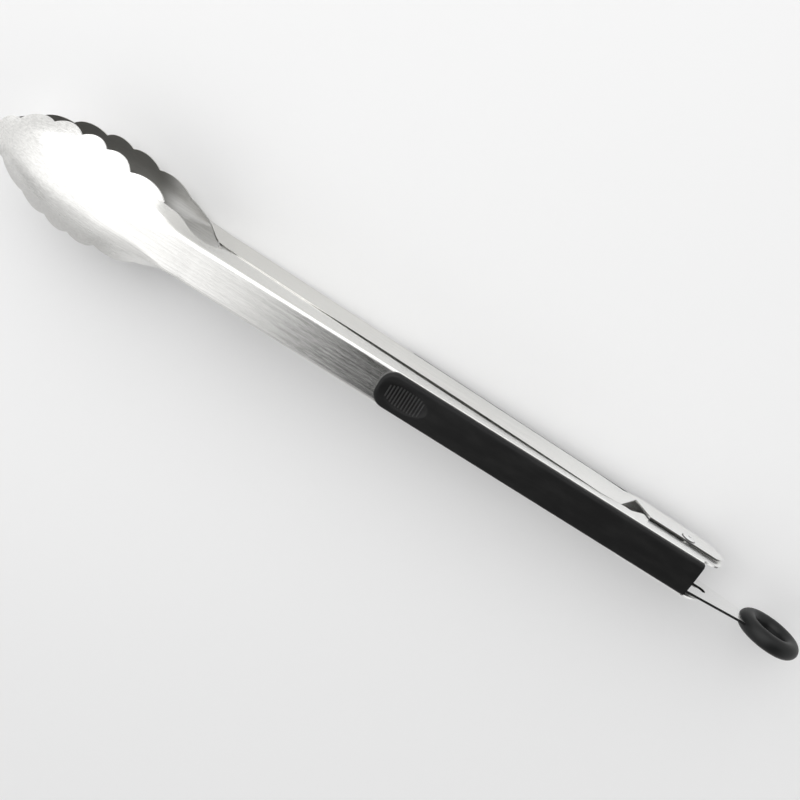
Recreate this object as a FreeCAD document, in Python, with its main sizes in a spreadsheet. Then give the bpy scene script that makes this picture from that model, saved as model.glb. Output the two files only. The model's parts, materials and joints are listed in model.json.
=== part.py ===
import FreeCAD, Part
import math
import os

import Sketcher

# Spring loaded kitchen tongs: two pressed steel arms on one riveted pin, with soft grips,
# a torsion spring and a slotted pull tab that locks them shut.
#
# The parts are drawn about the hinge: X runs along the closed tongs with the jaws towards -X,
# Y is the way the lower arm opens and Z runs across the channel along the pin, which lies on Z.
# At the end the tongs are laid down on their lower arm: Y is turned to point down, and the origin is
# moved to the bottom centre of the whole object's box.
#
# Both arms are the same stamping. The upper arm is the lower arm turned half a turn about X.

Vector = FreeCAD.Vector

DIMENSIONS = [
    # arms
    ("sheet_thk", 0.9, "thickness of the arm sheet"),
    ("half_width", 9.6, "half the channel's width at the hinge"),
    ("web_bulge", 0.3, "how much wider the channel is at its web along the handle"),
    ("bend_rad", 2.4, "outside bend radius of the channel"),
    ("flange_lean", 3.5, "lean of the flanges towards each other, degrees"),
    ("shallow_lean", 10.3, "lean of the shallower flange at the handle's rear, degrees"),
    ("depth_hinge", 16.5, "web to mid-plane at the pin"),
    ("depth_neck", 25.7, "web to mid-plane at the neck"),
    ("neck_dist", 274.0, "pin to the neck"),
    ("jaw_len", 112.3, "neck to the jaw's tip"),
    ("jaw_half", 22.1, "half the jaw's width at its widest valley"),
    ("lobe_rise", 2.8, "rise of a lobe over its chord"),
    ("tip_rise", 10.2, "rise of the tip lobe over its chord"),
    ("part_front", 1.7, "parting line's offset from the mid-plane at the neck"),
    ("part_rear", 7.7, "its offset the other way at the handle's rear"),
    ("part_gap", 0.12, "half the gap between the arms' free edges"),
    ("part_bow", 1.7, "extra half gap at the middle of the handle"),
    ("web_tail", 8.0, "web's end behind the pin"),
    ("ear_tail", 20.2, "ear's end behind the pin"),
    ("ear_side", 4.3, "ear's free edge beyond the pin"),
    ("ear_gap", 0.4, "clearance between two ears"),
    ("ramp_start", 35.1, "start of the step that raises the outer ear, ahead of the pin"),
    ("ramp_len", 7.8, "length of the step"),
    ("lean_len", 13.0, "length over which the flanges straighten ahead of the step"),
    # hinge
    ("pin_rad", 2.25, "pin radius"),
    ("pin_fit", 0.05, "radial running clearance on the pin"),
    ("head_rad", 3.65, "rivet head radius"),
    ("head_rise", 1.1, "rivet head height"),
    ("tail_rad", 3.4, "upset tail radius"),
    ("tail_rise", 0.8, "upset tail height"),
    ("seat_gap", 0.05, "clearance under head and tail"),
    ("bush_rad", 3.5, "outside radius of the spacer bush"),
    ("wire_rad", 0.65, "spring wire radius"),
    ("coil_rad", 4.9, "spring coil's mean radius"),
    ("coil_turns", 6.5, "spring turns, a whole number and a half"),
    ("leg_len", 24.0, "spring leg length"),
    # pull tab and ring
    ("tab_thk", 1.2, "pull tab thickness"),
    ("tab_gap", 0.2, "clearance over the ear below the tab"),
    ("wedge_gap", 1.2, "clearance between the tab's shoulders and the webs, past their inner bends"),
    ("tab_nose", 8.0, "tab's end ahead of the pin"),
    ("tab_neck_half", 7.4, "half the tab's width at the ring"),
    ("tab_reach", 42.0, "end of the tab's taper behind the pin"),
    ("slide_travel", 20.0, "travel of the tab"),
    ("slot_fit", 0.25, "side clearance of the pin in the slot"),
    ("ring_dist", 59.0, "ring centre behind the pin"),
    ("ring_rad", 12.0, "ring's mean radius"),
    ("cord_rad", 4.3, "radius of the ring's section"),
    ("bore_rad", 7.9, "ring bore's radius"),
    ("eye_half", 2.2, "half the width of the steel eye inside the ring"),
    ("mould_gap", 0.1, "clearance round the eye inside the ring"),
    # grips
    ("grip_front", 165.5, "grip's front end ahead of the pin"),
    ("grip_half", 9.1, "half the grip's width"),
    ("grip_thk", 3.8, "grip thickness over the web"),
    ("grip_wrap", 0.8, "how far the grip's sides reach down over the bends"),
    ("grip_fit", 0.12, "how much wider the grip's inside corners are than the bends"),
    ("grip_round", 1.8, "rounding of the grip's outer edges"),
    ("grip_nose", 7.0, "corner radius of the grip's front end"),
    ("rest_start", 1.8, "thumb rest's start behind the grip's front"),
    ("rest_len", 26.0, "thumb rest's length"),
    ("rest_half", 5.7, "half the thumb rest's width"),
    ("rest_depth", 0.9, "thumb rest's depth"),
    ("rib_count", 12.0, "ribs on the thumb rest"),
    ("rib_pitch", 1.6, "spacing of the ribs"),
    ("rib_half", 4.7, "half the ribs' length"),
    ("rib_thk", 0.8, "rib thickness"),
    ("rib_rise", 0.7, "rib height over the rest's floor"),
]

# Jaw sections from the neck to past the tip: share of the jaw's length, crown height as a share
# of the neck's depth, flat, bend radius and wall as shares of the jaw's half width, bend angle.
JAW_SECTIONS = [
    (0.06, 1.010, 0.32, 0.16, 0.75, 75.0),
    (0.17, 1.020, 0.16, 0.55, 0.45, 48.0),
    (0.36, 1.010, 0.06, 1.20, 0.30, 40.0),
    (0.49, 0.955, 0.05, 1.35, 0.30, 40.0),
    (0.615, 0.860, 0.05, 1.35, 0.28, 39.0),
    (0.76, 0.685, 0.05, 1.15, 0.25, 41.0),
    (0.91, 0.395, 0.05, 0.95, 0.25, 33.0),
    (1.03, 0.120, 0.05, 0.90, 0.25, 30.0),
]

# Valleys between the lobes, from the tip back: share of the jaw's length from the neck,
# and half width as a share of the widest.
JAW_VALLEYS = [(0.906, 0.475), (0.758, 0.84), (0.616, 0.96), (0.492, 1.0), (0.355, 0.887), (0.174, 0.742)]


def make_sheet(doc):
    """Puts the driving dimensions in a spreadsheet and returns it."""
    sheet = doc.addObject("Spreadsheet::Sheet", "dims")
    for row, (alias, value, meaning) in enumerate(DIMENSIONS, start=1):
        sheet.set(f"A{row}", alias)
        sheet.set(f"B{row}", str(value))
        sheet.set(f"C{row}", meaning)
        sheet.setAlias(f"B{row}", alias)
    doc.recompute()
    return sheet


class Dims:
    """Reads the sheet's cells by their aliases."""

    def __init__(self, sheet):
        self.sheet = sheet

    def __getattr__(self, alias):
        return float(self.sheet.get(alias))


# ---------------------------------------------------------------- arms


def web_line(d, x):
    """Distance of the web's outer face from the mid-plane at x."""
    return d.depth_hinge + (d.depth_neck - d.depth_hinge) * (-x / d.neck_dist)


def part_line(d, x):
    """Offset of the parting line on the top side at x."""
    front, rear = 14.0 - d.neck_dist, -d.ramp_start - 5.0
    return d.part_front - (d.part_front + d.part_rear) * (x - front) / (rear - front)


def half_profile(x, crown, flat, radius, angle, wall, thk, side):
    """Points of one half of a pressed section, outside then inside, with side +1 up or -1 down."""
    turn = math.radians(angle)
    cos, sin = math.cos(turn), math.sin(turn)

    def point(y, z):
        return Vector(x, y, side * z)

    def run(rad):
        centre = crown - radius
        mid = turn / 2
        start = point(centre + rad, flat)
        middle = point(centre + rad * math.cos(mid), flat + rad * math.sin(mid))
        end = point(centre + rad * cos, flat + rad * sin)
        rim = point(centre + rad * cos - wall * sin, flat + rad * sin + wall * cos)
        return start, middle, end, rim

    return run(radius), run(radius - thk)


def section(x, crown, upper, lower, thk):
    """Closed wire of a pressed section. upper and lower are (flat, radius, angle, wall)."""
    up_out, up_in = half_profile(x, crown, *upper, thk, 1)
    low_out, low_in = half_profile(x, crown, *lower, thk, -1)

    def line(a, b):
        return Part.LineSegment(a, b).toShape()

    def arc(a, m, b):
        return Part.Arc(a, m, b).toShape()

    edges = [
        line(low_out[0], up_out[0]),
        arc(up_out[0], up_out[1], up_out[2]),
        line(up_out[2], up_out[3]),
        line(up_out[3], up_in[3]),
        line(up_in[3], up_in[2]),
        arc(up_in[2], up_in[1], up_in[0]),
        line(up_in[0], low_in[0]),
        arc(low_in[0], low_in[1], low_in[2]),
        line(low_in[2], low_in[3]),
        line(low_in[3], low_out[3]),
        line(low_out[3], low_out[2]),
        arc(low_out[2], low_out[1], low_out[0]),
    ]
    return Part.Wire(edges)


def channel_section(d, x, upper_lean, lower_lean, raised=False):
    """Channel section at x: flanges lean inwards, and the upper one may be raised for the ear."""
    crown = web_line(d, x)
    bulge = d.web_bulge if upper_lean else 0.0
    flat = d.half_width + bulge - d.bend_rad
    wall = crown - d.bend_rad + 1.4 * d.part_rear
    lift = d.sheet_thk + d.ear_gap if raised else 0.0
    upper = (flat + lift, d.bend_rad, 90.0 + upper_lean, wall)
    lower = (flat, d.bend_rad, 90.0 + lower_lean, wall)
    return section(x, crown, upper, lower, d.sheet_thk)


def jaw_section(d, share, crown, flat, radius, wall, angle):
    """Dish section of the jaw, symmetric about Z = 0."""
    half = (flat * d.jaw_half, radius * d.jaw_half, angle, wall * d.jaw_half)
    return section(-d.neck_dist - share * d.jaw_len, crown * d.depth_neck, half, half, d.sheet_thk)


def raw_arm(d):
    """Untrimmed arm: a straight channel with a dished jaw in front of it."""
    neck = -d.neck_dist + d.bend_rad * 4
    ramp_front = -d.ramp_start
    channel = [
        channel_section(d, neck, d.flange_lean, d.flange_lean),
        channel_section(d, ramp_front - d.lean_len, d.flange_lean, d.shallow_lean),
        channel_section(d, ramp_front, 0.0, 0.0),
        channel_section(d, ramp_front + d.ramp_len, 0.0, 0.0, True),
        channel_section(d, d.ear_tail + 2, 0.0, 0.0, True),
    ]
    body = Part.makeLoft(channel, True, True)
    jaw = [channel_section(d, x, d.flange_lean, d.flange_lean) for x in (neck, neck - 5)]
    jaw += [jaw_section(d, *row) for row in JAW_SECTIONS]
    dish = Part.makeLoft(jaw, True, False)
    return body.fuse(dish)


def lobe(a, b, rise):
    """Arc from a to b that bulges to the left of the way from a to b by rise."""
    along = b - a
    left = Vector(along.z, 0, -along.x).normalize()
    return Part.Arc(a, (a + b) * 0.5 + left * rise, b).toShape()


def jaw_outline(d):
    """Prism that keeps the scalloped jaw and everything behind it."""
    reach = 2 * d.jaw_half
    upper = [Vector(-d.neck_dist - s * d.jaw_len, 0, w * d.jaw_half) for s, w in JAW_VALLEYS]
    lower = [Vector(p.x, 0, -p.z) for p in upper]
    edges = [lobe(upper[i + 1], upper[i], d.lobe_rise) for i in reversed(range(len(upper) - 1))]
    edges.append(lobe(upper[0], lower[0], d.tip_rise))
    edges += [lobe(lower[i], lower[i + 1], d.lobe_rise) for i in range(len(lower) - 1)]
    back = d.ear_tail + reach
    frame = [
        lower[-1],
        Vector(lower[-1].x, 0, -reach),
        Vector(back, 0, -reach),
        Vector(back, 0, reach),
        Vector(upper[-1].x, 0, reach),
        upper[-1],
    ]
    edges += [Part.LineSegment(p, q).toShape() for p, q in zip(frame, frame[1:])]
    face = Part.Face(Part.Wire(edges))
    face.translate(Vector(0, -reach, 0))
    return face.extrude(Vector(0, 3 * reach, 0))


def flange_cutter(d, raised):
    """Region off the flange's free edge and behind its ear, as a face on Z = 0."""
    ramp_front, ramp_rear = -d.ramp_start, d.ramp_len - d.ramp_start
    jaw_end = -d.neck_dist - JAW_VALLEYS[-1][0] * d.jaw_len
    notch_start = ramp_front - 2.7
    far = 3 * d.depth_neck
    sense = 1 if raised else -1
    out = []

    def edge(x):
        return Vector(x, sense * part_line(d, x) + d.part_gap, 0)

    def go(points):
        out.extend(Part.LineSegment(p, q).toShape() for p, q in zip(points, points[1:]))

    def arc(start, middle, end):
        out.append(Part.Arc(start, middle, end).toShape())

    # neck: the free edge sweeps towards the web between the handle and the jaw
    if raised:
        sweep = [(-7.0, 0.65), (4.0, 0.25)]
        neck_end = edge(18.0 - d.neck_dist)
    else:
        sweep = [(-10.0, 0.615), (0.5, 0.585), (8.0, 0.44)]
        neck_end = edge(21.0 - d.neck_dist)
    jaw_rim = Vector(jaw_end, 0.715 * d.depth_neck, 0)
    knots = [jaw_rim] + [Vector(x - d.neck_dist, share * d.depth_neck, 0) for x, share in sweep] + [neck_end]
    run = (edge(0.0) - edge(-1.0)) * 10
    curve = Part.BSplineCurve()
    free = len(sweep)
    curve.interpolate(
        knots, Tangents=[Vector(8, -1, 0)] + [Vector()] * free + [run], TangentFlags=[True] + [False] * free + [True])
    go([Vector(jaw_end, -far, 0), jaw_rim])
    out.append(curve.toShape())
    # handle: a shallow bow between the two places where the arms touch
    bow_a, bow_b = edge(-0.78 * d.neck_dist), edge(notch_start - 3.0)
    go([neck_end, bow_a])
    arc(bow_a, (bow_a + bow_b) * 0.5 + Vector(0, d.part_bow, 0), bow_b)
    # ear: notch or slope up to the ear's side, then the rounded tail back to the web's end
    if raised:
        tail = d.ear_tail
        slope = [(ramp_rear - 1.6, 0.58 * d.depth_hinge), (ramp_rear + 5.4, -d.ear_side)]
    else:
        tail = d.ear_tail - 1.2
        slope = [(ramp_front + 2.6, 0.53 * d.depth_hinge), (ramp_rear + 4.2, 0.2), (ramp_rear + 8.6, -d.ear_side)]
    tail_start = Vector(tail - 5.0, -d.ear_side, 0)
    tip = Vector(tail, 0.28 * d.depth_hinge, 0)
    web_end = Vector(d.web_tail, web_line(d, d.web_tail) - d.bend_rad, 0)
    go([bow_b, edge(notch_start)] + [Vector(x, y, 0) for x, y in slope] + [tail_start])
    arc(tail_start, Vector(tail - 1.2, -0.2 * d.ear_side, 0), tip)
    arc(tip, (tip + web_end) * 0.5 + Vector(1.6, 1.6, 0), web_end)
    corner = d.ear_tail + d.depth_neck
    go([web_end, Vector(d.web_tail, far, 0), Vector(corner, far, 0), Vector(corner, -far, 0), Vector(jaw_end, -far, 0)])
    return Part.Face(Part.Wire(out))


def make_arm(d):
    """One arm in the lower arm's place, its web towards +Y and its raised ear on top."""
    arm = raw_arm(d).common(jaw_outline(d))
    inner = 0.1 * d.half_width
    tall = 4 * d.jaw_half
    for raised, sense in ((True, 1), (False, -1)):
        face = flange_cutter(d, raised)
        face.translate(Vector(0, 0, sense * inner))
        arm = arm.cut(face.extrude(Vector(0, 0, sense * tall)))
    behind = Part.makeBox(3 * d.ear_tail, 4 * d.depth_neck, 2 * inner, Vector(d.web_tail, -2 * d.depth_neck, -inner))
    hole = Part.makeCylinder(d.pin_rad + d.pin_fit, tall, Vector(0, 0, -tall / 2))
    return arm.cut(behind).cut(hole).removeSplitter()


def add_shape(doc, label, shape):
    """Adds a Part::Feature with the given shape."""
    part = doc.addObject("Part::Feature", label)
    part.Label = label
    part.Shape = shape
    return part


# ---------------------------------------------------------------- primitives bound to the sheet

ALIASES = [alias for alias, value, meaning in DIMENSIONS]


def bound(expression):
    """Writes dims. before each alias in an expression whose words are set apart by spaces."""
    return " ".join("dims." + word if word in ALIASES else word for word in expression.split())


def primitive(doc, kind, name, **sizes):
    """Adds a Part primitive. Each size is an expression; at_x, at_y and at_z place it."""
    thing = doc.addObject("Part::" + kind, name)
    for key, expression in sizes.items():
        target = ".Placement.Base." + key[-1] if key.startswith("at_") else key
        thing.setExpression(target, bound(expression))
    return thing


def fused(doc, name, *things):
    """Fuses objects into one solid."""
    result = doc.addObject("Part::MultiFuse", name)
    result.Shapes = list(things)
    result.Refine = True
    return result


def cut(doc, name, base, tool):
    """Cuts tool from base."""
    result = doc.addObject("Part::Cut", name)
    result.Base, result.Tool = base, tool
    result.Refine = True
    return result


def common(doc, name, base, tool):
    """Keeps what two objects share."""
    result = doc.addObject("Part::MultiCommon", name)
    result.Shapes = [base, tool]
    return result


# ---------------------------------------------------------------- hinge

EAR_TOP = "half_width + sheet_thk + ear_gap"


def make_pin(doc):
    """Rivet: shaft, domed head with a dimple above the lower arm's ear, upset tail below."""
    top = f"( {EAR_TOP} + seat_gap )"
    shaft = primitive(doc, "Cylinder", "pin_shaft", Radius="pin_rad", Height=f"2 * {top}", at_z=f"-1 * {top}")
    ball_rad = "( ( head_rad ^ 2 + head_rise ^ 2 ) / ( 2 * head_rise ) )"
    ball = primitive(doc, "Sphere", "head_ball", Radius=ball_rad, at_z=f"{top} + head_rise - {ball_rad}")
    disc = primitive(doc, "Cylinder", "head_disc", Radius="head_rad", Height="head_rise", at_z=top)
    head = common(doc, "pin_head", ball, disc)
    tail = primitive(
        doc, "Cone", "pin_tail", Radius1="tail_rad - tail_rise / 2", Radius2="tail_rad", Height="tail_rise",
        at_z=f"-1 * {top} - tail_rise")
    whole = fused(doc, "pin_blank", shaft, head, tail)
    dimple = primitive(doc, "Sphere", "pin_dimple", Radius="pin_rad / 2", at_z=f"{top} + head_rise + pin_rad / 4")
    return cut(doc, "hinge_pin", whole, dimple)


TAB_FLOOR = "( sheet_thk + tab_gap - half_width )"
BUSH_FLOOR = f"( {TAB_FLOOR} + tab_thk + tab_gap )"
BUSH_TALL = f"( half_width - sheet_thk - tab_gap - {BUSH_FLOOR} )"


def make_bush(doc):
    """Spacer bush on the pin, inside the spring."""
    outer = primitive(doc, "Cylinder", "bush_outer", Radius="bush_rad", Height=BUSH_TALL, at_z=BUSH_FLOOR)
    inner = primitive(doc, "Cylinder", "bush_bore", Radius="pin_rad + pin_fit", Height=BUSH_TALL, at_z=BUSH_FLOOR)
    return cut(doc, "spacer_bush", outer, inner)


def make_spring(d):
    """Torsion spring round the bush, with one leg along each arm's web."""
    floor = d.sheet_thk + 2 * d.tab_gap + d.tab_thk - d.half_width + d.wire_rad + d.seat_gap
    ceiling = d.half_width - d.sheet_thk - d.tab_gap - d.wire_rad - d.seat_gap
    tall = ceiling - floor
    helix = Part.makeHelix(tall / d.coil_turns, tall, d.coil_rad)
    circle = Part.Wire(Part.makeCircle(d.wire_rad, Vector(d.coil_rad, 0, 0), Vector(0, 1, 0)))
    spring = Part.Wire(helix).makePipeShell([circle], True, True)
    spring.rotate(Vector(0, 0, 0), Vector(0, 0, 1), -90)
    spring.translate(Vector(0, 0, floor))
    rest = web_line(d, -d.leg_len) - d.sheet_thk - 2 * d.wire_rad
    for sense, height in ((-1, floor), (1, ceiling)):
        root = Vector(0, sense * d.coil_rad, height)
        way = Vector(-d.leg_len, sense * rest, height) - root
        spring = spring.fuse(Part.makeCylinder(d.wire_rad, way.Length, root, way))
        spring = spring.fuse(Part.makeSphere(d.wire_rad, root))
    return spring


# ---------------------------------------------------------------- sketched parts


def number(doc, expression):
    """Value of an expression on the sheet."""
    return float(doc.dims.evalExpression(expression))


def start_sketch(body, name, role):
    """Adds a sketch on one of the body's own planes."""
    sketch = body.newObject("Sketcher::SketchObject", name)
    plane = [feature for feature in body.Origin.OriginFeatures if feature.Role == role][0]
    sketch.AttachmentSupport = [(plane, "")]
    sketch.MapMode = "FlatFace"
    return sketch


def tie(sketch, geometry, end, across, up):
    """Ties a point of the sketch to two expressions on the sheet."""
    for kind, expression in (("DistanceX", across), ("DistanceY", up)):
        value = number(sketch.Document, expression)
        index = sketch.addConstraint(Sketcher.Constraint(kind, -1, 1, geometry, end, value))
        sketch.setExpression(f"Constraints[{index}]", bound(expression))


def outline(sketch, corners):
    """Closed outline of straight lines through corners given as pairs of expressions."""
    spots = [Vector(*(number(sketch.Document, e) for e in pair), 0) for pair in corners]
    count = len(spots)
    for i in range(count):
        sketch.addGeometry(Part.LineSegment(spots[i], spots[(i + 1) % count]), False)
    for i in range(count):
        sketch.addConstraint(Sketcher.Constraint("Coincident", i, 2, (i + 1) % count, 1))
    for i, (across, up) in enumerate(corners):
        tie(sketch, i, 1, across, up)


def disc(sketch, across, up, radius):
    """Circle whose centre and radius are expressions."""
    x, y, rad = (number(sketch.Document, e) for e in (across, up, radius))
    index = sketch.addGeometry(Part.Circle(Vector(x, y, 0), Vector(0, 0, 1), rad), False)
    size = sketch.addConstraint(Sketcher.Constraint("Radius", index, rad))
    sketch.setExpression(f"Constraints[{size}]", bound(radius))
    tie(sketch, index, 3, across, up)


def pad(body, name, sketch, length):
    """Pads a sketch by an expression."""
    feature = body.newObject("PartDesign::Pad", name)
    feature.Profile = sketch
    feature.setExpression("Length", bound(length))
    return feature


def pocket(body, name, sketch):
    """Cuts a sketch through the body on both sides of its plane."""
    feature = body.newObject("PartDesign::Pocket", name)
    feature.Profile = sketch
    feature.Type = "ThroughAll"
    feature.Midplane = True
    return feature


def make_tab(doc):
    """Pull tab: wedge, slot for the pin and the steel eye that the ring is moulded on."""
    body = doc.addObject("PartDesign::Body", "pull_tab")
    slope = "( depth_neck - depth_hinge ) / neck_dist"
    shoulder = f"( depth_hinge - web_tail * {slope} - sheet_thk - wedge_gap )"
    blade = start_sketch(body, "tab_blade", "XY_Plane")
    outline(blade, [
        ("-1 * tab_nose", f"-0.8 * {shoulder}"),
        ("0", f"-1 * {shoulder}"),
        ("web_tail", f"-1 * {shoulder}"),
        ("tab_reach", "-1 * tab_neck_half"),
        ("ring_dist - ring_rad", "-1 * tab_neck_half"),
        ("ring_dist - ring_rad", "tab_neck_half"),
        ("tab_reach", "tab_neck_half"),
        ("web_tail", shoulder),
        ("0", shoulder),
        ("-1 * tab_nose", f"0.8 * {shoulder}"),
    ])
    pad(body, "tab_blade_pad", blade, "tab_thk")
    eye = start_sketch(body, "tab_eye", "XY_Plane")
    disc(eye, "ring_dist", "0", "ring_rad + eye_half")
    pad(body, "tab_eye_pad", eye, "tab_thk")
    hole = start_sketch(body, "tab_eye_hole", "XY_Plane")
    disc(hole, "ring_dist", "0", "ring_rad - eye_half")
    pocket(body, "tab_eye_pocket", hole)
    half = "( pin_rad + slot_fit )"
    for name, centre in (("front", "0"), ("rear", "slide_travel")):
        end = start_sketch(body, f"tab_slot_{name}", "XY_Plane")
        disc(end, centre, "0", half)
        pocket(body, f"tab_slot_{name}_pocket", end)
    slot = start_sketch(body, "tab_slot", "XY_Plane")
    outline(slot, [("0", f"-1 * {half}"), ("slide_travel", f"-1 * {half}"), ("slide_travel", half), ("0", half)])
    pocket(body, "tab_slot_pocket", slot)
    return body


def make_ring(doc):
    """Soft hanging ring moulded round the tab's eye, with a plain bore."""
    middle = f"{TAB_FLOOR} + tab_thk / 2"
    torus = primitive(
        doc, "Torus", "ring_torus", Radius1="ring_rad", Radius2="cord_rad", at_x="ring_dist", at_z=middle)
    tall = "2 * cord_rad"
    bore = primitive(
        doc, "Cylinder", "ring_bore", Radius="bore_rad", Height=tall, at_x="ring_dist", at_z=f"{middle} - cord_rad")
    eye = primitive(
        doc, "Cylinder", "ring_eye", Radius="ring_rad + eye_half + mould_gap", Height="tab_thk",
        at_x="ring_dist", at_z=TAB_FLOOR)
    core = primitive(
        doc, "Cylinder", "ring_core", Radius="ring_rad - eye_half - mould_gap", Height="tab_thk",
        at_x="ring_dist", at_z=TAB_FLOOR)
    neck = primitive(
        doc, "Box", "ring_neck", Length="ring_rad", Width="2 * ( tab_neck_half + mould_gap )",
        Height="tab_thk", at_x="ring_dist - 2 * ring_rad", at_y="-1 * tab_neck_half - mould_gap", at_z=TAB_FLOOR)
    steel = fused(doc, "ring_steel", cut(doc, "ring_annulus", eye, core), neck)
    return cut(doc, "hang_ring", cut(doc, "ring_bored", torus, bore), steel)


# ---------------------------------------------------------------- grips

GRIP_LONG = "( grip_front + web_tail )"
WEB_FLAT = "( half_width + web_bulge - bend_rad )"
BEND_ROOM = "( bend_rad + grip_fit )"


def edges_where(shape, test):
    """Names of the edges whose both ends pass a test."""
    return [f"Edge{i + 1}" for i, edge in enumerate(shape.Edges) if all(test(v.Point) for v in edge.Vertexes)]


def make_grip(doc, label):
    """Soft grip on a web, drawn with its rear end on X = 0 and the web's face on Y = 0."""
    body = doc.addObject("PartDesign::Body", label + "_block")
    plan = start_sketch(body, label + "_plan", "XZ_Plane")
    outline(plan, [
        ("0", "-1 * grip_half"), ("0", "grip_half"), (f"-1 * {GRIP_LONG}", "grip_half"),
        (f"-1 * {GRIP_LONG}", "-1 * grip_half")])
    block = pad(body, label + "_pad", plan, "grip_thk + grip_wrap")
    block.Reversed = True
    body.setExpression(".Placement.Base.y", bound("-1 * grip_wrap"))
    doc.recompute()
    long = number(doc, GRIP_LONG)
    deep = block.Shape.BoundBox.YMax
    nose = body.newObject("PartDesign::Fillet", label + "_nose")
    upright = edges_where(block.Shape, lambda p: p.x < 0.01 - long)
    ends = [name for name in upright if abs(block.Shape.getElement(name).tangentAt(0).y) > 0.9]
    nose.Base = (block, ends)
    nose.setExpression("Radius", "dims.grip_nose")
    doc.recompute()
    soft = body.newObject("PartDesign::Fillet", label + "_soft")
    rim = edges_where(nose.Shape, lambda p: p.y > deep - 0.01)
    rim = [name for name in rim if not all(v.X > -0.01 for v in nose.Shape.getElement(name).Vertexes)]
    soft.Base = (nose, rim)
    soft.setExpression("Radius", "dims.grip_round")
    doc.recompute()
    # inside: the web's flat and its two bends, and room for the raised ear's wider web
    start, long_room, under = f"-1 * {GRIP_LONG} - 1", f"{GRIP_LONG} + 2", "-2 * bend_rad"
    inside = [primitive(
        doc, "Box", label + "_flat", Length=long_room, Width="2 * bend_rad", Height=f"2 * {WEB_FLAT}",
        at_x=start, at_y=under, at_z=f"-1 * {WEB_FLAT}")]
    for name, sign in (("left", "-1"), ("right", "1")):
        bend = primitive(
            doc, "Cylinder", f"{label}_{name}", Radius=BEND_ROOM, Height=long_room,
            at_x=start, at_y=f"-1 * {BEND_ROOM}", at_z=f"{sign} * {WEB_FLAT}")
        bend.Placement.Rotation = FreeCAD.Rotation(Vector(0, 1, 0), 90)
        inside.append(bend)
    inside.append(primitive(
        doc, "Box", label + "_relief", Length="ramp_start + web_tail + 1", Width="2 * bend_rad",
        Height=f"{EAR_TOP} + grip_fit", at_x="-1 * ramp_start - web_tail", at_y=under))
    shell = cut(doc, label + "_shell", body, fused(doc, label + "_inside", *inside))
    # thumb rest: an oval hollow, three depths thick above its floor, with ribs across it
    middle = f"( rest_start + rest_len / 2 - {GRIP_LONG} )"
    swell = f"{1 / math.sqrt(1 - (2 / 3) ** 2):.4f}"
    hollow = primitive(
        doc, "Ellipsoid", label + "_hollow", Radius1=f"{swell} * rest_half", Radius2=f"{swell} * rest_len / 2",
        Radius3="3 * rest_depth", at_x=middle, at_y="grip_thk + 2 * rest_depth")
    dished = cut(doc, label + "_dished", shell, hollow)
    ribs = []
    count = int(number(doc, "rib_count"))
    for i in range(count):
        ribs.append(primitive(
            doc, "Box", f"{label}_rib_{i + 1}", Length="rib_thk", Width="2 * rib_rise", Height="2 * rib_half",
            at_x=f"{middle} + {i - (count - 1) / 2} * rib_pitch - rib_thk / 2",
            at_y="grip_thk - rest_depth - rib_rise", at_z="-1 * rib_half"))
    bars = common(doc, label + "_ribs", fused(doc, label + "_bars", *ribs), hollow)
    return fused(doc, label, dished, bars)


# ---------------------------------------------------------------- document


def half_turn():
    """The turn that takes the lower arm's place to the upper arm's."""
    return FreeCAD.Rotation(Vector(1, 0, 0), 180)


def grip_place(d):
    """Placement of the lower grip on its web."""
    slope = math.degrees(math.atan2(web_line(d, 0) - web_line(d, d.web_tail), d.web_tail))
    return FreeCAD.Placement(Vector(d.web_tail, web_line(d, d.web_tail), 0), FreeCAD.Rotation(Vector(0, 0, 1), -slope))


def build():
    """Builds the document, places every part and returns the parts by label."""
    doc = FreeCAD.newDocument("kitchen_tongs")
    d = Dims(make_sheet(doc))
    arm = make_arm(d)
    turned = FreeCAD.Placement(Vector(0, 0, 0), half_turn())
    still = FreeCAD.Placement()
    parts = {
        "lower_arm": (add_shape(doc, "lower_arm", arm), still),
        "upper_arm": (add_shape(doc, "upper_arm", arm.copy()), turned),
        "lower_grip": (make_grip(doc, "lower_grip"), grip_place(d)),
        "upper_grip": (make_grip(doc, "upper_grip"), turned.multiply(grip_place(d))),
        "hinge_pin": (make_pin(doc), still),
        "spacer_bush": (make_bush(doc), still),
        "torsion_spring": (add_shape(doc, "torsion_spring", make_spring(d)), still),
        "pull_tab": (make_tab(doc), FreeCAD.Placement(
            Vector(0, 0, d.sheet_thk + d.tab_gap - d.half_width), FreeCAD.Rotation())),
        "hang_ring": (make_ring(doc), still),
    }
    doc.recompute()
    # laid on the lower arm, with the origin at the bottom centre of the object's box
    tip = -d.neck_dist - JAW_VALLEYS[0][0] * d.jaw_len - d.tip_rise
    tail = d.ring_dist + d.ring_rad + d.cord_rad
    deepest = arm.optimalBoundingBox(False).YMax
    lay = FreeCAD.Placement(Vector(-(tip + tail) / 2, 0, deepest), FreeCAD.Rotation(Vector(1, 0, 0), -90))
    for label, (part, place) in parts.items():
        part.Label = label
        part.Placement = lay.multiply(place)
    doc.recompute()
    return doc, {label: part for label, (part, place) in parts.items()}


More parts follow.
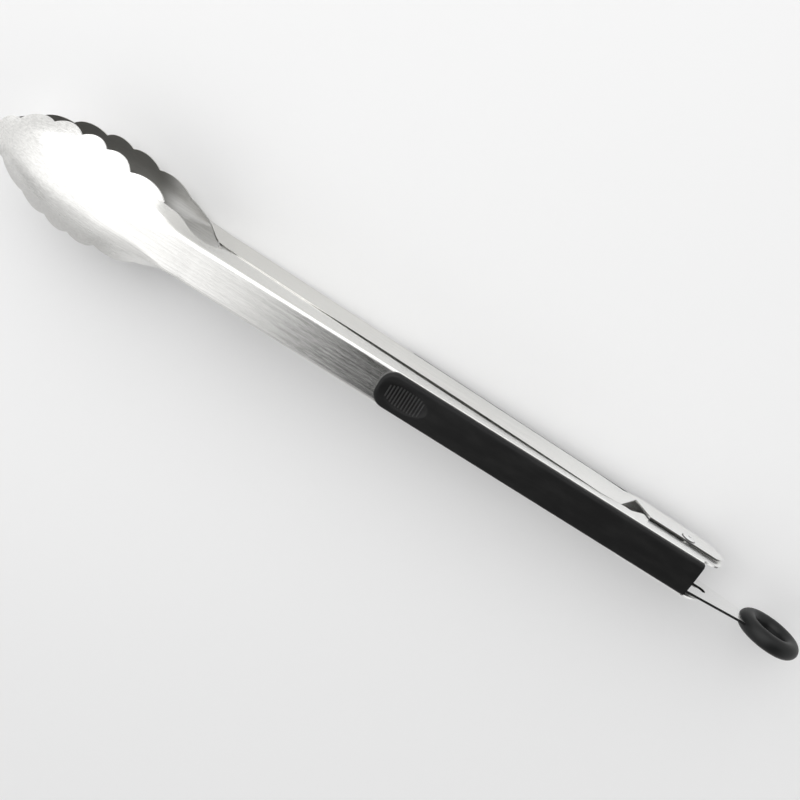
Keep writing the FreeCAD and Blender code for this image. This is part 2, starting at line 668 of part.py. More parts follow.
def export(doc, parts):
    """Checks every object and writes one STEP file for each part."""
    for thing in doc.Objects:
        if "Invalid" in thing.State or "Error" in thing.State:
            raise RuntimeError(f"{thing.Name} failed to build: {thing.State}")
    for label, part in parts.items():
        if part.Shape.isNull() or not part.Shape.isValid() or len(part.Shape.Solids) != 1:
            raise RuntimeError(f"{label} is not one valid solid")
    os.makedirs("parts", exist_ok=True)
    for label, part in parts.items():
        part.Shape.exportStep(f"parts/{label}.step")
        box = part.Shape.BoundBox
        print(f"{label:15s} volume {part.Shape.Volume:9.1f}  x {box.XMin:8.2f} {box.XMax:8.2f}"
              f"  y {box.YMin:7.2f} {box.YMax:7.2f}  z {box.ZMin:6.2f} {box.ZMax:6.2f}")


document, pieces = build()
export(document, pieces)
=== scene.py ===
import json
import math

import bpy
from mathutils import Matrix, Vector


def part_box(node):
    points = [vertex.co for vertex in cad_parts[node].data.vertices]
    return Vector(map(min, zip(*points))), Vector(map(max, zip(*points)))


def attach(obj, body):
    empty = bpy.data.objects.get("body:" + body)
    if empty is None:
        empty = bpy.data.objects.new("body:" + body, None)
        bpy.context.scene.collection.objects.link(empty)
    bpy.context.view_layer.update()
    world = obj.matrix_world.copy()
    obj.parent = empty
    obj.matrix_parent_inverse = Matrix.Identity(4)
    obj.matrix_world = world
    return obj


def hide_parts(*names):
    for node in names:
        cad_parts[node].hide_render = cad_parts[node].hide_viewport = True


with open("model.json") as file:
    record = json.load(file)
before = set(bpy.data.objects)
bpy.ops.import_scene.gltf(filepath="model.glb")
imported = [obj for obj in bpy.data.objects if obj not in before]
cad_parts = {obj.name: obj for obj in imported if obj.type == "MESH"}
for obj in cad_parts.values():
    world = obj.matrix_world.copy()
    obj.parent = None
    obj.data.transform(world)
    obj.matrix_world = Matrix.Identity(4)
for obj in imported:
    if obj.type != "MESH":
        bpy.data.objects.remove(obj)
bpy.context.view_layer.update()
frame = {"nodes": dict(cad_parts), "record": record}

bl_info = {
    "name": "Locking Kitchen Tongs",
    "version": (1, 0, 0),
    "blender": (4, 5, 0),
    "location": "View3D > Sidebar > Tongs",
    "description": "Finishes the kitchen tongs: steel arms, soft grips, spring, pull tab and ring",
    "category": "Object",
}

MM = 0.001

# Bands along X, in metres, over which the arms' finish and its painted shade change.
SCOOP_END = -0.15
SCOOP_FADE = (SCOOP_END - 0.008, SCOOP_END + 0.008)
INSIDE_FADE = (SCOOP_END + 0.03, SCOOP_END + 0.035)
FLANGE_SHADE_FADE = (-0.12, 0.04)
WEB_FADE = (0.02, 0.14)
EAR_FADE = (0.125, 0.13)
# Height off the pin's middle, in metres, inside which a face across Z is an ear's sheared edge, painted
# dark as painted shade.
EDGE_FADE = (0.0085, 0.0095)

# Grain of the brushing per metre, along and across it.
FINE_BRUSH = (60, 6500, 6500)
BROAD_BRUSH = (22, 1300, 1300)
CLOUDS = (18, 40, 40)
CROSS_SCRATCH = (700, 4200, 4200)
# Turning rings on the rivet, in radians per metre.
TURNING = 9000.0


# ---------------------------------------------------------------- shader maths


class Sock:
    """A shader socket that can be used in Python expressions. Numbers are worked out by Math nodes."""

    def __init__(self, build, socket):
        self.build, self.socket = build, socket

    def math(self, operation, *others):
        return self.build.node("ShaderNodeMath", {"operation": operation}, self, *others)

    def __add__(self, other):
        return self.math("ADD", other)

    __radd__ = __add__

    def __mul__(self, other):
        return self.math("MULTIPLY", other)

    __rmul__ = __mul__

    def __sub__(self, other):
        return self.math("SUBTRACT", other)

    def __rsub__(self, other):
        return self.build.node("ShaderNodeMath", {"operation": "SUBTRACT"}, other, self)

    def __neg__(self):
        return self.math("MULTIPLY", -1.0)

    def __pow__(self, other):
        return self.math("POWER", other)

    def __abs__(self):
        return self.math("ABSOLUTE")

    def smooth(self, low, high):
        """0 below low, 1 above high, smooth between."""
        return self.build.node(
            "ShaderNodeMapRange", {"interpolation_type": "SMOOTHSTEP"}, self, low, high, 0.0, 1.0)


class Build:
    """Adds nodes to a node tree."""

    def __init__(self, tree):
        self.tree = tree
        tree.nodes.clear()

    def node(self, kind, settings, *inputs, out=0, **named):
        """A node of a type with its settings made first, then its inputs by order or by name."""
        node = self.tree.nodes.new(kind)
        for key, value in settings.items():
            setattr(node, key, value)
        for key, value in [*enumerate(inputs), *named.items()]:
            target = node.inputs[key] if isinstance(key, int) else node.inputs[key.replace("_", " ")]
            if isinstance(value, Sock):
                self.tree.links.new(value.socket, target)
            elif value is not None:
                target.default_value = value
        return Sock(self, node.outputs[out])

    def place(self, scale=(1, 1, 1), turn=(0, 0, 0), move=(0, 0, 0)):
        """Object coordinates through a Mapping node, in metres times scale."""
        coordinates = self.node("ShaderNodeTexCoord", {}, out="Object")
        return self.node("ShaderNodeMapping", {}, coordinates, move, turn, scale)

    def axes(self, kind="Object"):
        """X, Y and Z of the object coordinates, or of another output of Texture Coordinate."""
        split = self.tree.nodes.new("ShaderNodeSeparateXYZ")
        self.tree.links.new(self.node("ShaderNodeTexCoord", {}, out=kind).socket, split.inputs[0])
        return [Sock(self, socket) for socket in split.outputs]

    def facing(self, axis):
        """The object-space normal's part along an axis."""
        return self.axes("Normal")["XYZ".index(axis)]

    def noise(self, vector, detail=2.0, roughness=0.5):
        """Noise with cells of one unit of the vector."""
        return self.node(
            "ShaderNodeTexNoise", {}, Vector=vector, Scale=1.0, Detail=detail, Roughness=roughness)

    def tint(self, factor, first, second):
        """Mix of two colours by a factor."""
        return self.node(
            "ShaderNodeMix", {"data_type": "RGBA"}, factor, None, None, None, None, None,
            *(value if isinstance(value, Sock) else grey(value) for value in (first, second)), out=2)

    def bump(self, height, distance, strength):
        return self.node("ShaderNodeBump", {}, Strength=strength, Distance=distance, Height=height)


def grey(value):
    """RGBA from a grey level or an RGB."""
    if isinstance(value, float):
        return (value, value, value, 1.0)
    return (*value, 1.0)


def finish(name, draw, **constants):
    """A material whose varying values come from draw(build) and whose other sockets are constants."""
    material = bpy.data.materials.new(name)
    material.use_nodes = True
    build = Build(material.node_tree)
    shader = material.node_tree.nodes.new("ShaderNodeBsdfPrincipled")
    for key, value in constants.items():
        shader.inputs[key.replace("_", " ")].default_value = value
    for key, value in draw(build).items():
        target = shader.inputs[key.replace("_", " ")]
        if isinstance(value, Sock):
            material.node_tree.links.new(value.socket, target)
        else:
            target.default_value = value
    out = material.node_tree.nodes.new("ShaderNodeOutputMaterial")
    material.node_tree.links.new(shader.outputs[0], out.inputs[0])
    return material


# ---------------------------------------------------------------- finishes


def tones():
    """The colours set in the scene."""
    return bpy.context.scene.tongs_tones


def brushed(build, tone, dark):
    """Sheet steel brushed along X, with fine scratches and slow clouds."""
    fine = build.noise(build.place(scale=FINE_BRUSH), detail=3.0, roughness=0.65)
    broad = build.noise(build.place(scale=BROAD_BRUSH, move=(3, 1, 2)))
    cloud = build.noise(build.place(scale=CLOUDS))
    streak = (fine * 0.6 + broad * 0.4).smooth(0.3, 0.7)
    return {
        "Base_Color": build.tint(streak * 0.7 + cloud * 0.3, dark, tone),
        "Roughness": 0.15 + streak * 0.09 + cloud * 0.05,
        "Normal": build.bump(fine * 0.7 + broad * 0.3, 0.02 * MM, 0.8),
    }


def arm_steel(build, inner=1):
    """Arm sheet, brushed in front and plainer towards the rear.

    The flanges on the side of the pin's head are painted darker in front, as painted shade. The scoop's
    lobes on the other side are scratched across and painted darker, as painted shade. The scoop's inside,
    whose normals point along inner times Z, is painted a dull dark grey as painted shade. The ears'
    sheared edges are painted dark, as painted shade.
    """
    colour = tones()
    sockets = brushed(build, colour.steel, colour.steel_shade)
    x, _, z = build.axes()
    up, side = build.facing("Z"), build.facing("Y")
    scoop = 1.0 - x.smooth(*SCOOP_FADE)
    inside = (up * inner).smooth(0.1, 0.4) * (1.0 - x.smooth(*INSIDE_FADE))
    # painted shade: the front flanges facing the pin's head are darkened in colour where their reflection
    # is dim
    flange = side.smooth(0.5, 0.9) * (1.0 - x.smooth(*FLANGE_SHADE_FADE)) * (1.0 - scoop)
    lobes = (-side).smooth(0.28, 0.62) * scoop
    # painted shade: the lobes are darkened in colour, with real scratches across them
    scratch = build.noise(build.place(scale=CROSS_SCRATCH, turn=(0, 0, 0.5)), detail=3.0, roughness=0.7)
    scratched_shade = build.tint(scratch.smooth(0.3, 0.7), colour.lobe_shade, colour.lobe)
    edge = 1.0 - abs(z - hinge().z).smooth(*EDGE_FADE)
    # painted shade: the ears' sheared edges are painted near black where they reflect dark and sit by the
    # gap
    sheared = abs(up).smooth(0.6, 0.85) * edge * x.smooth(*EAR_FADE)
    tone = build.tint(x.smooth(*WEB_FADE), sockets["Base_Color"], colour.web)
    tone = build.tint(flange * 0.9, tone, colour.flange)
    tone = build.tint(lobes, tone, scratched_shade)
    # painted shade: the scoops' inside is painted dark grey where occlusion and dark reflections fall
    tone = build.tint(inside * scoop, tone, colour.scoop_inside)
    sockets["Base_Color"] = build.tint(sheared, tone, 0.13)
    sockets["Roughness"] = sockets["Roughness"] + inside * 0.22 + lobes * 0.12 + sheared * 0.2
    return sockets


def tab_steel(build):
    """Brushed faces; the sheared edges, which don't face along Y, are painted dark as painted shade, and
    rough.
    """
    colour = tones()
    sockets = brushed(build, colour.tab, colour.tab_shade)
    face = abs(build.facing("Y")).smooth(0.5, 0.8)
    # painted shade: the edge faces are painted near black to stand in for their dark reflection
    sockets["Base_Color"] = build.tint(face, 0.035, sockets["Base_Color"])
    sockets["Roughness"] = sockets["Roughness"] + (1.0 - face) * 0.3
    return sockets


def turned_steel(build):
    """Rivet steel with faint turning rings round the pin, a painted shade rim round the head and a painted
    shade dot for the dimple, at both ends.
    """
    x, _, z = build.axes()
    at = hinge()
    away = ((x - at.x) ** 2.0 + (z - at.z) ** 2.0) ** 0.5
    rings = (away * TURNING).math("SINE") * 0.5 + 0.5
    speck = build.noise(build.place(scale=(900, 900, 900)))
    # painted shade: a dark outline where the head meets the arm, and a dark dot standing in for the
    # dimple's shade
    rim_shade = away.smooth(3.0 * MM, 3.4 * MM)
    dimple_shade = 1.0 - away.smooth(0.6 * MM, 1.1 * MM)
    turned = build.tint(rings * 0.3 + speck * 0.5, 0.8, 0.95)
    return {
        "Base_Color": build.tint(rim_shade + dimple_shade * 0.8, turned, 0.04),
        "Roughness": 0.28 + speck * 0.14,
        "Normal": build.bump(rings, 0.01 * MM, 0.6),
    }


def wire_steel(build):
    """Spring wire, drawn and a little dull."""
    grain = build.noise(build.place(scale=(1500, 1500, 1500)))
    return {"Base_Color": build.tint(grain, 0.36, 0.6), "Roughness": 0.26 + grain * 0.14}


def soft_black(build):
    """Soft-touch black: fine moulded grain and a little dust."""
    colour = tones()
    grain = build.noise(build.place(scale=(5200, 5200, 5200)))
    dust = build.noise(build.place(scale=(70, 240, 240)), detail=4.0, roughness=0.6)
    return {
        "Base_Color": build.tint(dust.smooth(0.35, 0.75), colour.rubber, colour.rubber_dust),
        "Roughness": 0.42 + grain * 0.1 + dust * 0.06,
        "Normal": build.bump(grain, 0.06 * MM, 0.5),
    }


def rib_painted_highlight(build):
    """The ribs, painted paler than the grip as a painted highlight, and smoother."""
    highlight_noise = build.noise(build.place(scale=(500, 500, 500)))
    # painted highlight: the ribs are paler than the grip so that they read as lit
    return {"Base_Color": build.tint(highlight_noise, 0.016, 0.034), "Roughness": 0.26 + highlight_noise * 0.14}


def ring_black(build):
    """The hang ring's harder moulded black."""
    colour = tones()
    grain = build.noise(build.place(scale=(3000, 3000, 3000)))
    dust = build.noise(build.place(scale=(160, 160, 160)), detail=3.0)
    return {
        "Base_Color": build.tint(dust, colour.ring, colour.ring_dust),
        "Roughness": 0.36 + grain * 0.08 + dust * 0.08,
        "Normal": build.bump(grain, 0.03 * MM, 0.4),
    }


def floor_white(build, level):
    """White table with painted shade: a little darker towards the ring and the side away from the pin's
    head.
    """
    x, y, _ = build.axes()
    # painted shade: a gentle fall-off of light painted into the floor's colour
    shade_falloff = (x * 0.54 - y * 0.84).smooth(0.02, 0.2)
    return {"Base_Color": build.tint(shade_falloff, level, level * 0.965)}


FINISHES = {
    "arm_steel": (arm_steel, {"Metallic": 1.0}),
    "pin_steel": (turned_steel, {"Metallic": 1.0}),
    "spring_steel": (wire_steel, {"Metallic": 1.0}),
    "tab_steel": (tab_steel, {"Metallic": 1.0}),
    "grip_rubber": (soft_black, {"Specular_IOR_Level": 0.25}),
    "grip_ribs": (rib_painted_highlight, {}),
    "ring_plastic": (ring_black, {"Specular_IOR_Level": 0.26}),
}


def material_for(slot):
    """The finish of one of the record's slots, made once."""
    draw, constants = FINISHES[slot]
    return bpy.data.materials.get("tongs_" + slot) or finish("tongs_" + slot, draw, **constants)


def dress(node, slot):
    """Gives a CAD node its finish. The upper arm's scoop opens downwards."""
    thing = frame["nodes"][node]
    thing.data.materials.clear()
    if node == "upper_arm":
        turned = finish("tongs_arm_steel_upper", lambda build: arm_steel(build, -1), Metallic=1.0)
        thing.data.materials.append(turned)
    else:
        thing.data.materials.append(material_for(slot))


# ---------------------------------------------------------------- meshes


def hinge():
    """The pin's middle, in the row frame."""
    low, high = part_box("hinge_pin")
    return Vector(((low.x + high.x) / 2, 0, (low.z + high.z) / 2))


def smooth_object(name, verts, faces, slot):
    """A smooth mesh object in the row frame, in the finish of a slot."""
    mesh = bpy.data.meshes.new(name)
    mesh.from_pydata(verts, [], faces)
    mesh.materials.append(material_for(slot))
    mesh.shade_smooth()
    thing = bpy.data.objects.new(name, mesh)
    bpy.context.scene.collection.objects.link(thing)
    return thing


def declare(thing, body, stands_for=None):
    """Makes a finished object ride on a body. It may stand for a CAD node."""
    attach(thing, body)
    if stands_for:
        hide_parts(stands_for)


def tube(path, radius):
    """Verts and faces of a round wire along a path, capped at both ends."""
    sides = 14
    verts, faces = [], []
    side = None
    for i, spot in enumerate(path):
        ahead = (path[min(i + 1, len(path) - 1)] - path[max(i - 1, 0)]).normalized()
        side = side or ahead.orthogonal()
        side = (side - ahead * side.dot(ahead)).normalized()
        other = ahead.cross(side)
        for k in range(sides):
            turn = 2 * math.pi * k / sides
            verts.append(spot + (side * math.cos(turn) + other * math.sin(turn)) * radius)
    for i in range(len(path) - 1):
        for k in range(sides):
            n = (k + 1) % sides
            faces.append((i * sides + k, i * sides + n, (i + 1) * sides + n, (i + 1) * sides + k))
    faces.append(tuple(reversed(range(sides))))
    faces.append(tuple(range((len(path) - 1) * sides, len(path) * sides)))
    return verts, faces


# ---------------------------------------------------------------- grips

# A grip in millimetres, and its slope in degrees. X runs to the rear end, Y off the web and Z across.
GRIP = {
    "tail": 8.0, "web": 16.23, "slope": 1.924, "long": 173.5, "half": 9.1, "thick": 3.8, "edge": 1.8,
    "dome": 0.5, "nose": 7.0, "foot": -0.42,
    "rest_from": 1.6, "rest_long": 25.0, "rest_half": 6.0, "rest_deep": 1.3,
    "rib_from": -167.7, "rib_level": 3.22,
}
# Rows of the grip's mesh round the nose, over the rest and behind it, and faces across it.
NOSE_ROWS, REST_ROWS, BACK_ROWS, ACROSS = 28, 70, 60, 44


def grip_place(upper):
    """Matrix from a grip's own millimetres to the row frame."""
    lean = math.radians(GRIP["slope"])
    c, s = math.cos(lean), math.sin(lean)
    at = hinge()
    sign = 1 if upper else -1
    return Matrix((
        (c * MM, s * MM, 0, at.x + GRIP["tail"] * MM),
        (0, 0, -sign * MM, 0),
        (-sign * s * MM, sign * c * MM, 0, at.z + sign * GRIP["web"] * MM),
        (0, 0, 0, 1)))


def grip_half_at(x):
    """Half width of the grip at x, with its rounded nose."""
    ahead = -GRIP["long"] + GRIP["nose"] - x
    if ahead <= 0:
        return GRIP["half"]
    return GRIP["half"] - GRIP["nose"] + math.sqrt(max(GRIP["nose"] ** 2 - ahead ** 2, 0.0))


def grip_height(x, z):
    """Height of the grip's outer face over the web, with its rounded edge and thumb rest."""
    ahead = max(-GRIP["long"] + GRIP["nose"] - x, 0.0)
    aside = max(abs(z) - GRIP["half"] + GRIP["nose"], 0.0)
    inset = GRIP["nose"] - math.hypot(ahead, aside)
    edge = GRIP["edge"]
    height = GRIP["thick"] - GRIP["dome"] * (z / GRIP["half"]) ** 2
    if inset < edge:
        height -= edge - math.sqrt(max(edge ** 2 - (edge - inset) ** 2, 0.0))
    middle = -GRIP["long"] + GRIP["rest_from"] + GRIP["rest_long"] / 2
    off = ((x - middle) / (GRIP["rest_long"] / 2)) ** 2 + (z / GRIP["rest_half"]) ** 2
    if off < 1:
        height -= GRIP["rest_deep"] * (1 - off) ** 0.75
    return height


def grip_stations():
    """X of the grip's rows: close together round the nose and the rest, wider behind them."""
    long, nose = GRIP["long"], GRIP["nose"]
    rows = [-long + nose * (1 - math.cos(math.pi / 2 * i / NOSE_ROWS)) for i in range(NOSE_ROWS)]
    rest_end = -long + GRIP["rest_from"] + GRIP["rest_long"] + 1
    rows += [-long + nose + (rest_end + long - nose) * i / REST_ROWS for i in range(REST_ROWS)]
    rows += [rest_end * (1 - i / BACK_ROWS) for i in range(BACK_ROWS + 1)]
    return rows


def grip_mesh(place):
    """Verts and faces of one grip: the outer face, its side walls, the two ends and the underside."""
    just_inside = 0.99999  # keeps the outer rows off the edge, where the rounding is steepest
    rows = grip_stations()
    verts, faces = [], []
    for x in rows:
        half = grip_half_at(x)
        spots = [(x, GRIP["foot"], -half)]
        for k in range(ACROSS + 1):
            z = half * math.sin(math.pi / 2 * (2 * k / ACROSS - 1))
            spots.append((x, grip_height(x, z * just_inside), z))
        spots.append((x, GRIP["foot"], half))
        verts += [place @ Vector(spot) for spot in spots]
    width = ACROSS + 3
    for i in range(len(rows) - 1):
        for k in range(width):
            n = (k + 1) % width
            faces.append((i * width + k, i * width + n, (i + 1) * width + n, (i + 1) * width + k))
    faces.append(tuple(reversed(range(width))))
    faces.append(tuple(range((len(rows) - 1) * width, len(rows) * width)))
    return verts, faces


def node_group(name, inputs):
    """A geometry node tree with a geometry in and out and named inputs, each with its kind of socket."""
    tree = bpy.data.node_groups.new(name, "GeometryNodeTree")
    tree.interface.new_socket("Geometry", in_out="INPUT", socket_type="NodeSocketGeometry")
    for label, kind in inputs.items():
        tree.interface.new_socket(label, in_out="INPUT", socket_type="NodeSocket" + kind)
    tree.interface.new_socket("Geometry", in_out="OUTPUT", socket_type="NodeSocketGeometry")
    return tree


def rib_tree():
    """Geometry nodes that add a row of rounded ribs to a grip. The ribs at the front are shorter."""
    tree = node_group("thumb_rest_ribs", {
        "Count": "Int", "Pitch": "Float", "Half length": "Float", "Radius": "Float",
        "Height": "Float", "Start": "Float", "Move": "Vector", "Turn": "Rotation",
    })
    build = Build(tree)
    given = tree.nodes.new("NodeGroupInput")

    def value(label):
        return Sock(build, given.outputs[label])

    def vector(x, y, z):
        return build.node("ShaderNodeCombineXYZ", {}, x, y, z)

    first = vector(value("Start"), value("Height"), 0.0)
    line = build.node(
        "GeometryNodeMeshLine", {"mode": "OFFSET"}, Count=value("Count"), Start_Location=first,
        Offset=vector(value("Pitch"), 0.0, 0.0))
    spine = build.node("GeometryNodeCurvePrimitiveLine", {}, Start=(0, 0, -1), End=(0, 0, 1))
    ring = build.node(
        "GeometryNodeCurvePrimitiveCircle", {}, Resolution=16, Radius=value("Radius"))
    bar = build.node(
        "GeometryNodeCurveToMesh", {}, Curve=spine, Profile_Curve=ring, Fill_Caps=True)
    index = build.node("GeometryNodeInputIndex", {})
    reach = (index * 0.13 + 0.64).math("MINIMUM", 1.0) * value("Half length")
    ribs = build.node(
        "GeometryNodeInstanceOnPoints", {}, Points=line, Instance=bar, Scale=vector(1.0, 1.0, reach))
    real = build.node("GeometryNodeRealizeInstances", {}, ribs)
    smooth = build.node("GeometryNodeSetShadeSmooth", {}, real)
    small = build.node("GeometryNodeTransform", {}, Geometry=smooth, Scale=(MM, MM, MM))
    laid = build.node(
        "GeometryNodeTransform", {}, Geometry=small, Translation=value("Move"), Rotation=value("Turn"))
    dressed = build.node(
        "GeometryNodeSetMaterial", {}, Geometry=laid, Material=material_for("grip_ribs"))
    join = tree.nodes.new("GeometryNodeJoinGeometry")
    tree.links.new(dressed.socket, join.inputs[0])
    tree.links.new(given.outputs["Geometry"], join.inputs[0])
    out = tree.nodes.new("NodeGroupOutput")
    tree.links.new(join.outputs[0], out.inputs[0])
    return tree


def grow(thing, tree, **values):
    """Runs a geometry node tree on an object and keeps what comes out as its mesh."""
    modifier = thing.modifiers.new("grow", "NODES")
    modifier.node_group = tree
    for item in tree.interface.items_tree:
        if item.in_out == "INPUT" and item.name.replace(" ", "_") in values:
            modifier[item.identifier] = values[item.name.replace(" ", "_")]
    bpy.context.view_layer.update()
    grown = thing.evaluated_get(bpy.context.evaluated_depsgraph_get())
    mesh = bpy.data.meshes.new_from_object(grown)
    thing.modifiers.remove(modifier)
    thing.data = mesh


def make_grip(side, ribs, sizes):
    """The soft grip of the upper or the lower arm, with its thumb rest and ribs."""
    name = side + "_grip_soft"
    place = grip_place(side == "upper")
    thing = smooth_object(name, *grip_mesh(place), "grip_rubber")
    spot, turn = place.decompose()[:2]
    grow(thing, ribs, Count=sizes.rib_count, Pitch=sizes.rib_pitch, Half_length=sizes.rib_half,
         Radius=sizes.rib_radius, Height=GRIP["rib_level"], Start=GRIP["rib_from"],
         Move=tuple(spot), Turn=tuple(turn.to_euler()))
    thing.data.name = name
    thing.data.set_sharp_from_angle(angle=math.radians(40))
    declare(thing, side + "_arm", side + "_grip")


# ---------------------------------------------------------------- spring

# The spring in millimetres and turns: radii of wire and coil, ends along Y, legs' height off the pin.
SPRING = {"wire": 0.65, "mean": 4.9, "turns": 6.5, "low": -6.4, "high": 8.0, "rest": 15.1}
# Each leg takes two laps of the coil's end with it, and the coil keeps one of them for an overlap.
LAP = 1 / 24
COIL_STEPS, LAP_STEPS, LEG_STEPS = 260, 8, 6


def coil_spot(turn):
    """Point of the spring's helix at a turn from its lower end, in the row frame."""
    at = hinge()
    angle = 2 * math.pi * (turn - 0.25)
    rise = SPRING["low"] + (SPRING["high"] - SPRING["low"]) * turn / SPRING["turns"]
    across, up = SPRING["mean"] * math.cos(angle), SPRING["mean"] * math.sin(angle)
    return Vector((at.x + across * MM, rise * MM, at.z - up * MM))


def wire_piece(name, path, body, stands_for=None):
    """A piece of the spring's wire along a path, on a body."""
    thing = smooth_object(name, *tube(path, SPRING["wire"] * MM), "spring_steel")
    declare(thing, body, stands_for)


def make_spring(reach):
    """The coil on the pin and a leg on each arm, reaching that many millimetres in front of the pin."""
    at = hinge()
    turns = SPRING["turns"]
    path = [coil_spot(LAP + (turns - 2 * LAP) * i / COIL_STEPS) for i in range(COIL_STEPS + 1)]
    wire_piece("spring_coil", path, "pin", "torsion_spring")
    for side, end, inward, sign, level in (
            ("upper", 0.0, 1, 1, "low"), ("lower", turns, -1, -1, "high")):
        path = [coil_spot(end + inward * LAP * 2 * (1 - i / LAP_STEPS)) for i in range(LAP_STEPS + 1)]
        far = Vector((at.x - reach * MM, SPRING[level] * MM, at.z + sign * SPRING["rest"] * MM))
        path += [path[-1].lerp(far, (i + 1) / LEG_STEPS) for i in range(LEG_STEPS)]
        wire_piece("spring_leg_" + side, path, side + "_arm")


# ---------------------------------------------------------------- stage

FLOOR_HALF = 6.0
FLOOR_SQUARE = ((-1, -1), (1, -1), (1, 1), (-1, 1))
LAMP = {"wide": 2.2, "high": 1.5, "watts": 10.2, "place": (-0.45, 0.72, 1.0)}
SENSOR_WIDTH = 36.0


def lay_floor(scene, level):
    """A flat white table under the object."""
    mesh = bpy.data.meshes.new("floor")
    corners = [(x * FLOOR_HALF, y * FLOOR_HALF, 0) for x, y in FLOOR_SQUARE]
    mesh.from_pydata(corners, [], [(0, 1, 2, 3)])
    floor = bpy.data.objects.new("floor", mesh)
    scene.collection.objects.link(floor)
    mesh.materials.append(
        finish("floor_white", lambda build: floor_white(build, level), Roughness=0.6))


def light_world(scene):
    """A plain level, brighter on the jaws' side, with a dark patch overhead towards the ring. It is dimmer
    low on the side away from the pin's head and low beyond the jaws."""
    world = bpy.data.worlds.new("studio")
    scene.world = world
    world.use_nodes = True
    build = Build(world.node_tree)
    x, y, z = build.axes("Generated")
    overhead = z.smooth(0.55, 0.86) * x.smooth(-0.108, -0.06)
    low_side = (-y).smooth(0.35, 0.75) * (1.0 - z.smooth(0.5, 0.8))
    low_end = (-x).smooth(0.4, 0.95) * (1.0 - z.smooth(0.1, 0.75))
    jaw_side = (-x).smooth(0.02, 0.2)
    level = 0.93 + jaw_side * 0.52 - overhead * 0.93 - low_side * 0.6 - low_end * 0.52
    back = build.node("ShaderNodeBackground", {}, grey(1.0), level)
    out = world.node_tree.nodes.new("ShaderNodeOutputWorld")
    world.node_tree.links.new(back.socket, out.inputs[0])


def hang_lamp(scene):
    """A soft lamp on the side of the pin's head, aimed at the row frame's origin."""
    lamp = bpy.data.lights.new("softbox", "AREA")
    lamp.shape, lamp.size, lamp.size_y = "RECTANGLE", LAMP["wide"], LAMP["high"]
    lamp.energy = LAMP["watts"]
    box = bpy.data.objects.new("softbox", lamp)
    scene.collection.objects.link(box)
    place = Vector(LAMP["place"])
    aim = (-place).to_track_quat("-Z", "Y").to_matrix().to_4x4()
    box.matrix_world = Matrix.Translation(place) @ aim


def set_camera(scene, settings):
    """A camera above the tongs, leaning towards the pin's head and rolled about its own axis."""
    camera = bpy.data.cameras.new("camera")
    camera.sensor_width, camera.lens = SENSOR_WIDTH, settings.lens
    eye = bpy.data.objects.new("camera", camera)
    scene.collection.objects.link(eye)
    target = hinge() + Vector((*settings.aim, 0))
    ahead = Vector((
        math.sin(settings.swing) * math.cos(settings.lean),
        -math.sin(settings.lean),
        -math.cos(settings.lean))).normalized()
    right = ahead.cross(Vector((0, 1, 0))).normalized()
    up = right.cross(ahead)
    c, s = math.cos(settings.roll), math.sin(settings.roll)
    right, up = right * c + up * s, up * c - right * s
    turn = Matrix((right, up, -ahead)).transposed().to_4x4()
    eye.matrix_world = Matrix.Translation(target - ahead * settings.distance) @ turn
    scene.camera = eye


# ---------------------------------------------------------------- settings


def colour_setting(name, description, value):
    """A colour in the sidebar, with its default."""
    return bpy.props.FloatVectorProperty(
        name=name, description=description, default=value, min=0.0, max=1.0, subtype="COLOR")


class TongsTones(bpy.types.PropertyGroup):
    """Colours of the finishes"""
    steel: colour_setting("Steel", "Bright streaks of the arms' brushing", (0.92, 0.915, 0.895))
    steel_shade: colour_setting("Steel shade", "Dark streaks of the arms' brushing", (0.6, 0.597, 0.58))
    web: colour_setting("Web", "The arms' web towards the rear", (0.93, 0.93, 0.915))
    # painted shade: darker tone standing in for the front flanges' dim reflection
    flange: colour_setting("Flange", "The handle's flange at the front", (0.66, 0.655, 0.63))
    # painted shade: both lobe colours are darker than the steel to stand in for dim reflections, with the
    # scratches' real streaks
    lobe: colour_setting("Lobe", "The scratched lobes' bright streaks", (0.7, 0.695, 0.68))
    lobe_shade: colour_setting("Lobe shade", "The scratched lobes' dark streaks", (0.46, 0.455, 0.44))
    # painted shade: dark grey standing in for the shade inside the scoops
    scoop_inside: colour_setting("Scoop inside", "The scoops' inner face", (0.27, 0.266, 0.25))
    tab: colour_setting("Tab", "Bright streaks of the pull tab", (0.97, 0.97, 0.96))
    tab_shade: colour_setting("Tab shade", "Dark streaks of the pull tab", (0.86, 0.86, 0.855))
    rubber: colour_setting("Grip", "The soft grips", (0.0038, 0.0038, 0.0039))
    rubber_dust: colour_setting("Grip dust", "Dust on the soft grips", (0.0085, 0.0085, 0.0083))
    ring: colour_setting("Ring", "The hang ring", (0.0035, 0.0039, 0.0039))
    ring_dust: colour_setting("Ring dust", "Dust on the hang ring", (0.008, 0.0085, 0.0085))


class TongsSizes(bpy.types.PropertyGroup):
    """Sizes of the thumb rest's ribs and the spring's legs, in millimetres"""
    rib_count: bpy.props.IntProperty(
        name="Ribs", description="Number of ribs on each thumb rest", default=12, min=1)
    rib_pitch: bpy.props.FloatProperty(
        name="Rib pitch", description="From one rib to the next, in millimetres", default=1.6, min=0.1)
    rib_half: bpy.props.FloatProperty(
        name="Rib half length", description="Half a full rib's length, in millimetres", default=4.7,
        min=0.1)
    rib_radius: bpy.props.FloatProperty(
        name="Rib radius", description="Radius of a rib's top, in millimetres", default=0.32, min=0.05)
    leg_reach: bpy.props.FloatProperty(
        name="Leg reach", description="From the pin to a spring leg's end, in millimetres",
        default=24.0, min=1.0)


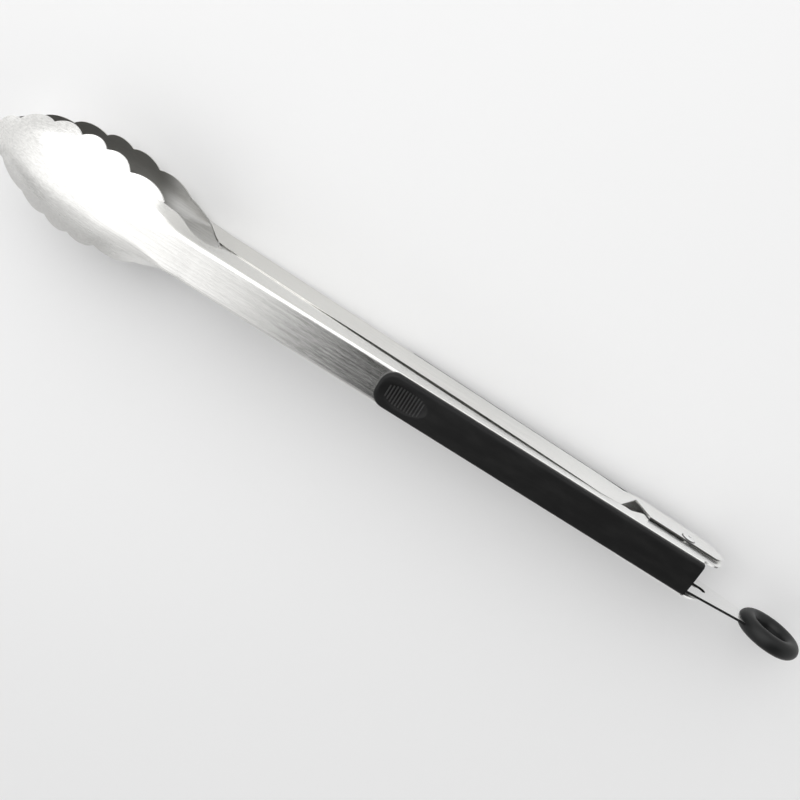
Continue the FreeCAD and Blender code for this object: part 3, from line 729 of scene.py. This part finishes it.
class TongsStage(bpy.types.PropertyGroup):
    """Camera and floor"""
    lens: bpy.props.FloatProperty(
        name="Lens", description="Camera's lens", default=45.1, min=10.0, unit="CAMERA")
    aim: bpy.props.FloatVectorProperty(
        name="Aim", description="Point that the camera looks at, from the pin",
        default=(-0.1525, -0.0084), size=2, subtype="TRANSLATION")
    swing: bpy.props.FloatProperty(
        name="Swing", description="Camera's lean along the tongs", default=math.radians(-0.1),
        subtype="ANGLE")
    lean: bpy.props.FloatProperty(
        name="Lean", description="Camera's lean from straight above, towards the pin's head",
        default=math.radians(16.95), subtype="ANGLE")
    roll: bpy.props.FloatProperty(
        name="Roll", description="Camera's roll about its own axis", default=math.radians(32.52),
        subtype="ANGLE")
    distance: bpy.props.FloatProperty(
        name="Distance", description="Camera to the point it looks at", default=0.4871, unit="LENGTH")
    floor: bpy.props.FloatProperty(
        name="Floor", description="Floor's grey level", default=0.825, min=0.0, max=1.0)


# ---------------------------------------------------------------- operators


class TONGS_OT_finishes(bpy.types.Operator):
    """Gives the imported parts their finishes"""
    bl_idname = "tongs.finishes"
    bl_label = "Finishes"

    def execute(self, context):
        for entry in frame["record"]["subparts"]:
            dress(entry["node"], entry["material_slot"])
        return {"FINISHED"}


class TONGS_OT_grips(bpy.types.Operator):
    """Makes the two soft grips with their ribbed thumb rests"""
    bl_idname = "tongs.grips"
    bl_label = "Grips"

    def execute(self, context):
        ribs = rib_tree()
        for side in ("upper", "lower"):
            make_grip(side, ribs, context.scene.tongs_sizes)
        return {"FINISHED"}


class TONGS_OT_spring(bpy.types.Operator):
    """Makes the torsion spring's coil and legs"""
    bl_idname = "tongs.spring"
    bl_label = "Spring"

    def execute(self, context):
        make_spring(context.scene.tongs_sizes.leg_reach)
        return {"FINISHED"}


class TONGS_OT_stage(bpy.types.Operator):
    """Makes the floor, world, lamp and camera"""
    bl_idname = "tongs.stage"
    bl_label = "Stage"

    def execute(self, context):
        scene = context.scene
        lay_floor(scene, scene.tongs_stage.floor)
        light_world(scene)
        hang_lamp(scene)
        set_camera(scene, scene.tongs_stage)
        scene.view_settings.view_transform = "Standard"
        return {"FINISHED"}


class TONGS_PT_panel(bpy.types.Panel):
    bl_label = "Kitchen Tongs"
    bl_idname = "TONGS_PT_panel"
    bl_space_type = "VIEW_3D"
    bl_region_type = "UI"
    bl_category = "Tongs"

    def draw(self, context):
        for operator in OPERATORS:
            self.layout.operator(operator.bl_idname)
        for name, group in SETTINGS.items():
            for key in group.__annotations__:
                self.layout.prop(getattr(context.scene, name), key)


OPERATORS = (TONGS_OT_finishes, TONGS_OT_grips, TONGS_OT_spring, TONGS_OT_stage)
SETTINGS = {"tongs_tones": TongsTones, "tongs_sizes": TongsSizes, "tongs_stage": TongsStage}
CLASSES = (*SETTINGS.values(), *OPERATORS, TONGS_PT_panel)


def register():
    for cls in CLASSES:
        bpy.utils.register_class(cls)
    for name, group in SETTINGS.items():
        setattr(bpy.types.Scene, name, bpy.props.PointerProperty(type=group))


def unregister():
    for name in SETTINGS:
        delattr(bpy.types.Scene, name)
    for cls in reversed(CLASSES):
        bpy.utils.unregister_class(cls)


def main():
    register()
    bpy.ops.tongs.finishes()
    bpy.ops.tongs.grips()
    bpy.ops.tongs.spring()
    bpy.ops.tongs.stage()


if __name__ == "__main__":
    main()
